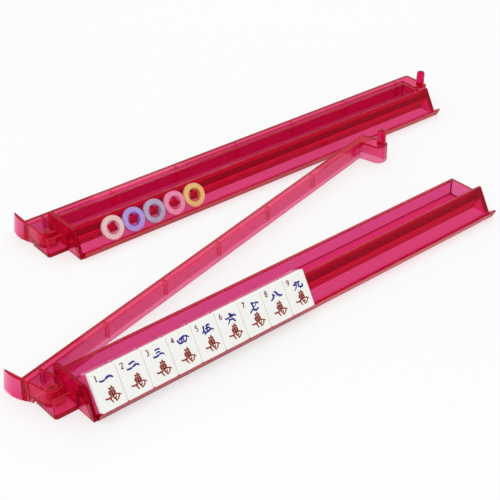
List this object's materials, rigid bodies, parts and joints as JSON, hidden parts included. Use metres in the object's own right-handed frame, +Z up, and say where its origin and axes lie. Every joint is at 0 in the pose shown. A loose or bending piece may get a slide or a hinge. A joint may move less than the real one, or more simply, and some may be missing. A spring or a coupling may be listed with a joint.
{
  "type": "mahjong rack set",
  "caption": "Pair of long see-through tile racks with swing-out pusher arms, leaning engraved tiles and round counters with square holes.",
  "frame": {"origin": "middle of the front rack's flat underside, below the centre of its channel, on the table", "axes": "+X along the front rack away from its hinge end, +Y from the player across the table towards the second rack, +Z up"},
  "size_m": [0.574, 0.2597, 0.036],
  "materials": {
    "rack_plastic": "glossy see-through pink acrylic, injection moulded, welded and polished",
    "tile_body": "polished ivory-white moulded plastic with engraved and painted faces",
    "counter_1": "pale rose see-through plastic, moulded",
    "counter_2": "violet see-through plastic, moulded",
    "counter_3": "smoky lilac see-through plastic, moulded",
    "counter_4": "hot pink see-through plastic, moulded",
    "counter_5": "amber see-through plastic, moulded"
  },
  "bodies": {
    "front_rack": {"front_trough": "rack_plastic", "front_left_end": "rack_plastic", "front_right_end": "rack_plastic", "front_hinge_pin": "rack_plastic"},
    "front_pusher": {"front_pusher_arm": "rack_plastic", "front_finger_peg": "rack_plastic"},
    "rear_rack": {"rear_trough": "rack_plastic", "rear_left_end": "rack_plastic", "rear_right_end": "rack_plastic", "rear_hinge_pin": "rack_plastic"},
    "rear_pusher": {"rear_pusher_arm": "rack_plastic", "rear_finger_peg": "rack_plastic"},
    "tile_1_body": {"tile_1": "tile_body"},
    "tile_2_body": {"tile_2": "tile_body"},
    "tile_3_body": {"tile_3": "tile_body"},
    "tile_4_body": {"tile_4": "tile_body"},
    "tile_5_body": {"tile_5": "tile_body"},
    "tile_6_body": {"tile_6": "tile_body"},
    "tile_7_body": {"tile_7": "tile_body"},
    "tile_8_body": {"tile_8": "tile_body"},
    "tile_9_body": {"tile_9": "tile_body"},
    "counter_1_body": {"counter_1": "counter_1"},
    "counter_2_body": {"counter_2": "counter_2"},
    "counter_3_body": {"counter_3": "counter_3"},
    "counter_4_body": {"counter_4": "counter_4"},
    "counter_5_body": {"counter_5": "counter_5"}
  },
  "joints": [
    {"name": "front_pusher_hinge", "type": "hinge", "parent": "front_rack", "child": "front_pusher", "pos_m": [-0.2199, 0.0024, 0.008], "axis": [0, 0, 1], "range_deg": [-13.24, 0]},
    {"name": "rear_rack_lift", "type": "slide", "parent": "front_rack", "child": "rear_rack", "axis": [0, 0, 1], "range_m": [0, 0.05]},
    {"name": "rear_pusher_hinge", "type": "hinge", "parent": "rear_rack", "child": "rear_pusher", "pos_m": [-0.11034, 0.17883, 0.008], "axis": [0, 0, 1], "range_deg": [0, 90]},
    {"name": "tile_1_lift", "type": "slide", "parent": "front_rack", "child": "tile_1_body", "axis": [0, 0.5, 0.866], "range_m": [0, 0.04]},
    {"name": "tile_2_lift", "type": "slide", "parent": "front_rack", "child": "tile_2_body", "axis": [0, 0.5, 0.866], "range_m": [0, 0.04]},
    {"name": "tile_3_lift", "type": "slide", "parent": "front_rack", "child": "tile_3_body", "axis": [0, 0.5, 0.866], "range_m": [0, 0.04]},
    {"name": "tile_4_lift", "type": "slide", "parent": "front_rack", "child": "tile_4_body", "axis": [0, 0.5, 0.866], "range_m": [0, 0.04]},
    {"name": "tile_5_lift", "type": "slide", "parent": "front_rack", "child": "tile_5_body", "axis": [0, 0.5, 0.866], "range_m": [0, 0.04]},
    {"name": "tile_6_lift", "type": "slide", "parent": "front_rack", "child": "tile_6_body", "axis": [0, 0.5, 0.866], "range_m": [0, 0.04]},
    {"name": "tile_7_lift", "type": "slide", "parent": "front_rack", "child": "tile_7_body", "axis": [0, 0.5, 0.866], "range_m": [0, 0.04]},
    {"name": "tile_8_lift", "type": "slide", "parent": "front_rack", "child": "tile_8_body", "axis": [0, 0.5, 0.866], "range_m": [0, 0.04]},
    {"name": "tile_9_lift", "type": "slide", "parent": "front_rack", "child": "tile_9_body", "axis": [0, 0.5, 0.866], "range_m": [0, 0.04]},
    {"name": "counter_1_lift", "type": "slide", "parent": "rear_rack", "child": "counter_1_body", "axis": [0.0143, 0.4998, 0.866], "range_m": [0, 0.04]},
    {"name": "counter_2_lift", "type": "slide", "parent": "rear_rack", "child": "counter_2_body", "axis": [0.0143, 0.4998, 0.866], "range_m": [0, 0.04]},
    {"name": "counter_3_lift", "type": "slide", "parent": "rear_rack", "child": "counter_3_body", "axis": [0.0143, 0.4998, 0.866], "range_m": [0, 0.04]},
    {"name": "counter_4_lift", "type": "slide", "parent": "rear_rack", "child": "counter_4_body", "axis": [0.0143, 0.4998, 0.866], "range_m": [0, 0.04]},
    {"name": "counter_5_lift", "type": "slide", "parent": "rear_rack", "child": "counter_5_body", "axis": [0.0143, 0.4998, 0.866], "range_m": [0, 0.04]}
  ]
}
